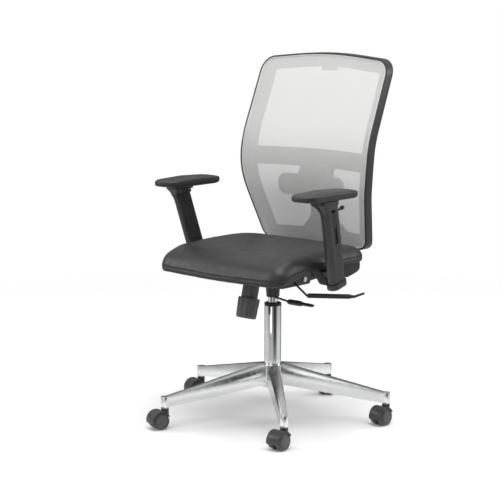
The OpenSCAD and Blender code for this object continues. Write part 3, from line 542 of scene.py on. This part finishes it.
def edge_height(y):
    """Height of the seat's lower edge at a distance behind the column."""
    for (y0, z0), (y1, z1) in zip(UNDER_EDGE, UNDER_EDGE[1:]):
        if y <= y1:
            return z0 + (z1 - z0) * (y - y0) / (y1 - y0)
    return UNDER_EDGE[-1][1]


def distance_inside(point, outline):
    best = 1e9
    for a, b in zip(outline, outline[1:] + outline[:1]):
        along = b - a
        share = max(0.0, min(1.0, (point - a).dot(along) / max(along.length_squared, 1e-9)))
        best = min(best, (point - a - along * share).length)
    return best


def remeshed(piece, voxel):
    piece.data.remesh_voxel_size = voxel
    select_only(piece)
    bpy.ops.object.voxel_remesh()


seat_edge = resampled(rounded_outline(SEAT_PLAN, SEAT_RADII), 12)
cushion = bpy.data.objects.new("seat_cushion.leatherette", frame["nodes"]["seat_cushion"].data.copy())
bpy.context.scene.collection.objects.link(cushion)
select_only(cushion)
bpy.ops.object.mode_set(mode="EDIT")
bpy.ops.mesh.select_all(action="SELECT")
bpy.ops.mesh.remove_doubles(threshold=0.00002)
bpy.ops.object.mode_set(mode="OBJECT")
remeshed(cushion, 0.006)
for vertex in cushion.data.vertices:
    x, y, z = vertex.co * 1000
    seam = edge_height(y) + BAND_H
    if z > seam:
        inside = min(distance_inside(Vector((x, y)), seat_edge) / ROLL_R, 1)
        vertex.co.z = (seam + (z - seam) * math.sqrt(1 - (1 - inside) ** 2)) / 1000
remeshed(cushion, 0.005)

PRESSURE, SWELL_STEPS, SWELL_FADE = 4.0, 20, 14
moulded = [vertex.co.copy() for vertex in cushion.data.vertices]
cloth = cushion.modifiers.new("Swell", "CLOTH")
cloth.settings.use_pressure = True
cloth.settings.uniform_pressure_force = PRESSURE
cloth.settings.effector_weights.gravity = 0
for step in range(1, SWELL_STEPS + 1):
    bpy.context.scene.frame_set(step)
select_only(cushion)
bpy.ops.object.modifier_apply(modifier=cloth.name)
bpy.context.scene.frame_set(1)
for vertex, before in zip(cushion.data.vertices, moulded):
    shift = vertex.co - before
    above = before.z * 1000 - edge_height(before.y * 1000) - BAND_H
    share = max(0.0, min(1.0, above / SWELL_FADE))
    vertex.co = before + shift * share * min(1, SWELL / max(shift.length, 1e-9))
apply_modifier(cushion, "SMOOTH", factor=0.5, iterations=6)
apply_modifier(cushion, "SUBSURF", levels=1, render_levels=1)

SEAM_DEPTH, SEAM_SPREAD, SEAM_REACH, FOLD_H = 0.0017, 2.4, 7, 0.0004
facing = [vertex.normal.copy() for vertex in cushion.data.vertices]
for vertex, outward in zip(cushion.data.vertices, facing):
    x, y, z = vertex.co * 1000
    off = z - edge_height(y) - BAND_H
    if abs(off) < SEAM_REACH and distance_inside(Vector((x, y)), seat_edge) < SEAM_REACH + 2:
        vertex.co -= outward * SEAM_DEPTH * math.exp(-(off / SEAM_SPREAD) ** 2)
    elif off > SEAM_REACH + 1:
        fold = noise.noise(Vector((x / 70, y / 45, 3.1))) + 0.5 * noise.noise(Vector((x / 24, y / 30, 7.7)))
        vertex.co += outward * FOLD_H * fold
select_only(cushion)
bpy.ops.object.shade_smooth()


def leatherette_finish():
    """Coated fabric: a pebbled hair-cell grain, a painted sheen that makes the colour lighter on each
    pebble's top, and faint stretch marks.
    """
    finish = new_finish("black_leatherette", IOR=1.48, Specular_IOR_Level=0.5, Sheen_Weight=0.04,
                        Sheen_Roughness=0.5)
    where = place(finish)
    pebbles = add_node(finish, "ShaderNodeTexVoronoi", {"Vector": where, "Scale": 620.0, "Smoothness": 0.6},
                       feature="SMOOTH_F1").outputs["Distance"]
    broad = cloud(finish, where, 16, 4.0)
    # Painted sheen: the pebble pattern lightens the colour at each pebble's centre, where its bump is
    # highest; the broad cloud adds random tone.
    tone_and_painted_sheen = add_node(finish, "ShaderNodeMath", {0: spread(finish, broad, 0, 0.7),
                                               1: spread(finish, pebbles, 0.3, 0, 0, 0.7)},
                    operation="ADD").outputs["Value"]
    link(finish, tinted(finish, tone_and_painted_sheen, LEATHERETTE_DARK, LEATHERETTE_LIGHT), "Base Color")
    link(finish, spread(finish, cloud(finish, where, 40, 3.0), 0.37, 0.5), "Roughness")
    creases = raised(finish, cloud(finish, where, 70, 5.0, 0.6), 0.0006, 0.35)
    link(finish, raised(finish, spread(finish, pebbles, 1, 0, 0.1, 0.7), 0.00016, 0.7, creases), "Normal")
    return finish


leatherette = leatherette_finish()
fit(cushion, "seat", "leatherette", leatherette, "seat_cushion")


def drawn_line(name, points, radius, closed=True, resolution=5):
    """A round cord or bead drawn along points in metres, as a mesh."""
    line = bpy.data.curves.new(name, "CURVE")
    line.dimensions = "3D"
    line.bevel_depth, line.bevel_resolution = radius, resolution
    spline = line.splines.new("POLY")
    spline.points.add(len(points) - 1)
    for slot, point in zip(spline.points, points):
        slot.co = (*point, 1)
    spline.use_cyclic_u = closed
    line.use_fill_caps = not closed
    piece = bpy.data.objects.new(name, line)
    bpy.context.scene.collection.objects.link(piece)
    select_only(piece)
    bpy.ops.object.convert(target="MESH")
    bpy.ops.object.shade_smooth()
    return bpy.context.object


welt_line = [Vector((p.x, p.y, edge_height(p.y) + BAND_H)) / 1000 for p in
             resampled(rounded_outline(SEAT_PLAN, SEAT_RADII, 1.3), 5)]
fit(drawn_line("seat_welt", welt_line, 0.0013), "seat", "leatherette", leatherette)

# ------------------------------------------------------------------ arms
# Each arm: a steel bracket under the seat, an oval post, and a sleeve that slides on it
# and carries a self-skinned foam pad. The trigger's knob sticks out behind the sleeve.
PAD_X, PAD_Y, PAD_Z, PAD_H, PAD_HALF_W, PAD_HALF_L = 265, -85, 680, 28, 42.5, 120
PAD_LIFT, PAD_DROP = 5, 7.5
arm_plastic = plastic_finish("arm_moulding", (0.027, 0.027, 0.0273), (0.038, 0.038, 0.0384), 0.3, 0.00004)
slot_plastic = plastic_finish("trigger_moulding", (0.018, 0.018, 0.019), (0.026, 0.026, 0.027), 0.4, 0.00004)


def pad_finish():
    """Self-skinned polyurethane: closed skin with a fine leather print, duller where an arm rests."""
    finish = new_finish("integral_skin_foam", IOR=1.48, Specular_IOR_Level=0.4)
    where = place(finish)
    cells = add_node(finish, "ShaderNodeTexVoronoi", {"Vector": where, "Scale": 900.0})
    link(finish, tinted(finish, spread(finish, cloud(finish, where, 20, 4.0), 0, 1), (0.019, 0.019, 0.0193),
                        (0.028, 0.028, 0.0284)), "Base Color")
    link(finish, spread(finish, cloud(finish, where, 28, 3.0), 0.38, 0.52), "Roughness")
    dents = raised(finish, cloud(finish, where, 60, 3.0), 0.0005, 0.25)
    link(finish, raised(finish, cells.outputs["Distance"], 0.00012, 0.6, dents), "Normal")
    return finish


pad_skin = pad_finish()
pad_outline = [(0, 0), (28, 0), (36, 0.5), (39.6, 2.0), (41.6, 4.6), (42.4, 8), (PAD_HALF_W, 13),
               (42.3, 18), (41.7, 21), (40.6, 22.9), (38.6, 24.3), (34, 25.5), (27, 26.6), (19, 27.4),
               (10, 27.9), (0, PAD_H)]
pad_master = turned("pad_master", pad_outline, 96, PAD_HALF_L - PAD_HALF_W)
for vertex in pad_master.data.vertices:
    share = vertex.co.z * 1000 / PAD_H
    far_out = abs(vertex.co.y) * 1000 / PAD_HALF_L
    lift = PAD_LIFT * max(0, (far_out - 0.5) / 0.5) ** 2
    vertex.co.z = (lift + share * (PAD_H - lift - PAD_DROP * far_out ** 2)) / 1000
soften(pad_master, 0, smooth=50)
for name, side in (("left", 1), ("right", -1)):
    bracket, post = f"arm_bracket_{name}", f"arm_post_{name}"
    sleeve, trigger = f"arm_sleeve_{name}", f"arm_trigger_{name}"
    fit(eased_copy(bracket, f"{bracket}.pressed", 0.002, 3), "seat", "black_steel", powder_coat, bracket)
    fit(eased_copy(post, f"{post}.moulding", 0.0008), "seat", "dark_plastic", arm_plastic, post)
    fit(eased_copy(sleeve, f"{sleeve}.moulding", 0.0009, 3), f"arm_{name}", "dark_plastic",
        arm_plastic, sleeve)
    fit(eased_copy(trigger, f"{trigger}.moulding", 0.0006, 3), f"trigger_{name}", "dark_plastic",
        slot_plastic, trigger)
    pad_place = Matrix.Translation((side * PAD_X / 1000, PAD_Y / 1000, PAD_Z / 1000))
    pad = copied(pad_master, f"arm_pad_{name}.foam", pad_place)
    fit(pad, f"arm_{name}", "arm_pad_skin", pad_skin, f"arm_pad_{name}")
bpy.data.objects.remove(pad_master)

# ------------------------------------------------------------------ back frame
# A glass-filled nylon frame in one moulding: a deep rim with an inner flange, a bowed
# cross rail and a spine, screwed to a bent steel bar. A lumbar pad hangs from the rail.
frame_plastic = plastic_finish("back_moulding", (0.022, 0.022, 0.0223), (0.031, 0.031, 0.0314), 0.38,
                               0.00006, 1100)
fit(eased_copy("back_bar", "back_bar.bent", 0.0015, 3), "back", "black_steel", powder_coat, "back_bar")
for node, edge, steps in (("back_frame", 0.0012, 3), ("lumbar_support", 0.003, 4)):
    fit(eased_copy(node, f"{node}.moulding", edge, steps), "back", "back_plastic", frame_plastic, node)
coat_node("back_screws", zinc)

# ------------------------------------------------------------------ back mesh
# Open polyester knit in light grey, welded to a strip round its edge and pressed into a
# groove inside the rim, so that it is stretched flat across and follows the rim's curve.
BACK_PLAN = [(-198, 496), (198, 496), (247, 728), (243, 1053), (0, 1075), (-243, 1053), (-247, 728)]
BACK_RADII = [38, 38, 450, 48, 1200, 48, 450]
RIM_WALL, MESH_AT, MESH_T = 5.0, 2.75, 0.0005
LUMBAR_Y, LUMBAR_Z, LUMBAR_R = 128.0, 738.0, 300.0
UPPER_LEAN, LOWER_LEAN = math.radians(22.5), math.radians(18)
KNIT_ACROSS, KNIT_UP = 0.0027, 0.0021


def rim_front(z):
    """Distance of the rim's front edge behind the column at a height: two leans joined by an arc."""
    off, up, down = z - LUMBAR_Z, LUMBAR_R * math.sin(UPPER_LEAN), LUMBAR_R * math.sin(LOWER_LEAN)
    if off > up:
        return LUMBAR_Y + LUMBAR_R * (1 - math.cos(UPPER_LEAN)) + (off - up) * math.tan(UPPER_LEAN)
    if off < -down:
        return LUMBAR_Y + LUMBAR_R * (1 - math.cos(LOWER_LEAN)) + (-down - off) * math.tan(LOWER_LEAN)
    return LUMBAR_Y + LUMBAR_R - math.sqrt(LUMBAR_R ** 2 - off ** 2)


mesh_edge = rounded_outline(BACK_PLAN, BACK_RADII, RIM_WALL + 0.1, 12)
bpy.ops.object.select_all(action="DESELECT")
bpy.ops.mesh.primitive_circle_add(vertices=len(mesh_edge), radius=0.3, fill_type="NGON")
knit = bpy.context.object
knit.name = "back_mesh.knit"
for vertex, point in zip(knit.data.vertices, mesh_edge):
    vertex.co = (point.x / 1000, 0, point.y / 1000)
bpy.ops.object.mode_set(mode="EDIT")
cuts = [((0, 0, height / 1000), (0, 0, 1)) for height in range(505, 1070, 11)]
cuts += [((across / 1000, 0, 0), (1, 0, 0)) for across in range(-231, 232, 21)]
for at, facing_way in cuts:
    bpy.ops.mesh.select_all(action="SELECT")
    bpy.ops.mesh.bisect(plane_co=at, plane_no=facing_way)
bpy.ops.mesh.select_all(action="SELECT")
bpy.ops.mesh.normals_make_consistent(inside=False)
bpy.ops.object.mode_set(mode="OBJECT")
weave = knit.data.uv_layers.new(name="knit")
for loop in knit.data.loops:
    corner = knit.data.vertices[loop.vertex_index].co
    lean = 1 / math.cos(UPPER_LEAN if corner.z > LUMBAR_Z / 1000 else LOWER_LEAN)
    weave.data[loop.index].uv = (corner.x, (corner.z - LUMBAR_Z / 1000) * lean)
for vertex in knit.data.vertices:
    vertex.co.y = (rim_front(vertex.co.z * 1000) + MESH_AT) / 1000
if sum(face.normal.y * face.area for face in knit.data.polygons) > 0:
    knit.data.flip_normals()
apply_modifier(knit, "SOLIDIFY", thickness=MESH_T, offset=0)
select_only(knit)
bpy.ops.object.shade_smooth_by_angle(angle=math.radians(60))


def computed(finish, operation, *values):
    return add_node(finish, "ShaderNodeMath", dict(enumerate(values)), operation=operation).outputs["Value"]


def knit_finish():
    """Open warp knit: staggered oval holes between ribs of yarn that twist round one another."""
    finish = new_finish("grey_knit", Roughness=0.78, IOR=1.45, Specular_IOR_Level=0.25, Sheen_Weight=0.15,
                        Sheen_Roughness=0.6)
    where = add_node(finish, "ShaderNodeUVMap", uv_map="knit").outputs["UV"]
    axes = add_node(finish, "ShaderNodeSeparateXYZ", {"Vector": where}).outputs
    ripples = []
    for axis, pitch in (("X", KNIT_ACROSS), ("Y", KNIT_UP)):
        phase = computed(finish, "MULTIPLY", axes[axis], 2 * math.pi / pitch)
        ripples.append(computed(finish, "COSINE", phase))
    holes = computed(finish, "MULTIPLY", *ripples)
    yarn = add_node(finish, "ShaderNodeTexWave", {"Vector": where, "Scale": 420.0, "Distortion": 2.0,
                                                  "Detail": 1.0}, bands_direction="DIAGONAL").outputs["Fac"]
    link(finish, tinted(finish, yarn, (0.62, 0.618, 0.614), (0.79, 0.787, 0.782)), "Base Color")
    link(finish, spread(finish, holes, 1, 0, 0.14, 0.26), "Alpha")
    ribs = raised(finish, holes, -0.0003, 0.8)
    link(finish, raised(finish, yarn, 0.0001, 0.6, ribs), "Normal")
    return finish


fit(knit, "back", "back_mesh", knit_finish(), "back_mesh")


def strip_finish():
    """Extruded edge strip with the knit's hem welded over it."""
    finish = new_finish("hem_strip", Roughness=0.6, IOR=1.45, Sheen_Weight=0.1, Sheen_Roughness=0.5)
    where = place(finish)
    ribs = cloud(finish, where, 900, 2.0)
    color = tinted(finish, spread(finish, ribs, 0, 1), (0.62, 0.617, 0.61), (0.80, 0.795, 0.785))
    link(finish, color, "Base Color")
    link(finish, raised(finish, ribs, 0.0002, 0.8), "Normal")
    return finish


hem_line = [Vector((p.x, rim_front(p.y) + 1.9, p.y)) / 1000 for p in
            resampled(rounded_outline(BACK_PLAN, BACK_RADII, RIM_WALL + 1.7, 12), 7)]
fit(drawn_line("back_mesh.hem", hem_line, 0.0015), "back", "back_mesh", strip_finish())

# ------------------------------------------------------------------ studio
# A pale floor that fades out behind the chair, a large soft light overhead, two softer
# ones at the sides, and a long lens a little above seat height.
FLOOR_R = 6.0
SEEN_FADE, MIRRORED_FADE = (0.9, 2.6), (0.4, 0.8)
bpy.ops.object.select_all(action="DESELECT")
bpy.ops.mesh.primitive_circle_add(vertices=96, radius=FLOOR_R, fill_type="NGON", location=(0, 0, -0.0005))
floor = bpy.context.object
floor.name = "floor"
paper = new_finish("pale_floor", Base_Color=(0.93, 0.93, 0.93, 1), Roughness=0.55, Specular_IOR_Level=0.3)
floor_place = place(paper)
away = add_node(paper, "ShaderNodeVectorMath", {0: floor_place}, operation="LENGTH").outputs["Value"]
in_metal = add_node(paper, "ShaderNodeLightPath").outputs["Is Glossy Ray"]
fade = add_node(paper, "ShaderNodeMix", {"Factor": in_metal})
paper.node_tree.links.new(spread(paper, away, 1, 0, *SEEN_FADE), fade.inputs["A"])
paper.node_tree.links.new(spread(paper, away, 1, 0, *MIRRORED_FADE), fade.inputs["B"])
link(paper, fade.outputs["Result"], "Alpha")
floor.data.materials.append(paper)


def softbox(name, spot, target, size, watts):
    light = bpy.data.lights.new(name, "AREA")
    light.shape, light.size, light.energy = "SQUARE", size, watts
    box = bpy.data.objects.new(name, light)
    box.location = spot
    box.rotation_euler = (Vector(target) - Vector(spot)).to_track_quat("-Z", "Y").to_euler()
    bpy.context.scene.collection.objects.link(box)


softbox("overhead", (0.5, -0.2, 3.2), (0, 0, 0.3), 2.4, 72)
softbox("window_side", (-2.6, -2.2, 1.9), (0, 0, 0.5), 1.6, 38)
softbox("rim_side", (2.2, 2.4, 1.8), (0, 0, 0.6), 1.4, 28)
softbox("front_low", (0.9, -3.2, 0.7), (0, 0.1, 0.6), 1.6, 9)

studio = bpy.data.worlds.new("studio")
bpy.context.scene.world = studio
studio.use_nodes = True
nodes, links = studio.node_tree.nodes, studio.node_tree.links
backdrop = nodes["Background"]
toward = nodes.new("ShaderNodeTexCoord")
height = nodes.new("ShaderNodeSeparateXYZ")
shades = nodes.new("ShaderNodeValToRGB")
remap = nodes.new("ShaderNodeMapRange")
remap.inputs["From Min"].default_value = -1
links.new(toward.outputs["Generated"], height.inputs["Vector"])
links.new(height.outputs["Z"], remap.inputs["Value"])
links.new(remap.outputs["Result"], shades.inputs["Fac"])
stops = shades.color_ramp.elements
stops[0].position, stops[0].color = 0.0, (0.8, 0.8, 0.8, 1)
stops[1].position, stops[1].color = 1.0, (1, 1, 1, 1)
for position, value in ((0.42, 0.72), (0.5, 0.42), (0.60, 0.30), (0.74, 0.8)):
    stop = stops.new(position)
    stop.color = (value, value, value, 1)
# Dark screens stand round the chair, between the lamps, and draw dark lines down the chrome.
turn = nodes.new("ShaderNodeTexGradient")
turn.gradient_type = "RADIAL"
links.new(toward.outputs["Generated"], turn.inputs["Vector"])
screens = nodes.new("ShaderNodeValToRGB")
links.new(turn.outputs["Fac"], screens.inputs["Fac"])
for end, position in enumerate((0.0, 1.0)):
    screens.color_ramp.elements[end].position = position
    screens.color_ramp.elements[end].color = (1, 1, 1, 1)
for position, value in ((0.05, 1.25), (0.16, 1.25), (0.22, 0.8), (0.36, 0.8), (0.405, 0.12), (0.49, 0.12),
                        (0.53, 1.25), (0.68, 1.25), (0.75, 0.1), (0.95, 0.1)):
    screen = screens.color_ramp.elements.new(position)
    screen.color = (value, value, value, 1)
level = nodes.new("ShaderNodeMapRange")
level.inputs["From Min"].default_value, level.inputs["From Max"].default_value = 0.12, 0.45
level.inputs["To Min"].default_value, level.inputs["To Max"].default_value = 1, 0
size_up = nodes.new("ShaderNodeMath")
size_up.operation = "ABSOLUTE"
links.new(height.outputs["Z"], size_up.inputs[0])
links.new(size_up.outputs["Value"], level.inputs["Value"])
screened = nodes.new("ShaderNodeMix")
screened.data_type, screened.blend_type = "RGBA", "MULTIPLY"
links.new(level.outputs["Result"], screened.inputs["Factor"])
links.new(shades.outputs["Color"], screened.inputs["A"])
links.new(screens.outputs["Color"], screened.inputs["B"])
links.new(screened.outputs["Result"], backdrop.inputs["Color"])
backdrop.inputs["Strength"].default_value = 0.85
seen = nodes.new("ShaderNodeBackground")
seen.inputs["Color"].default_value = (1, 1, 1, 1)
rays = nodes.new("ShaderNodeLightPath")
choice = nodes.new("ShaderNodeMixShader")
links.new(rays.outputs["Is Camera Ray"], choice.inputs["Fac"])
links.new(backdrop.outputs["Background"], choice.inputs[1])
links.new(seen.outputs["Background"], choice.inputs[2])
links.new(choice.outputs["Shader"], nodes["World Output"].inputs["Surface"])

lens = bpy.data.cameras.new("camera")
lens.lens, lens.sensor_width = 115.2, 36
camera = bpy.data.objects.new("camera", lens)
camera.location = (3.0516, -3.4900, 1.2521)
camera.rotation_euler = (math.radians(80.8), 0, math.radians(42))
bpy.context.scene.collection.objects.link(camera)
bpy.context.scene.camera = camera
bpy.context.scene.view_settings.view_transform = "Standard"
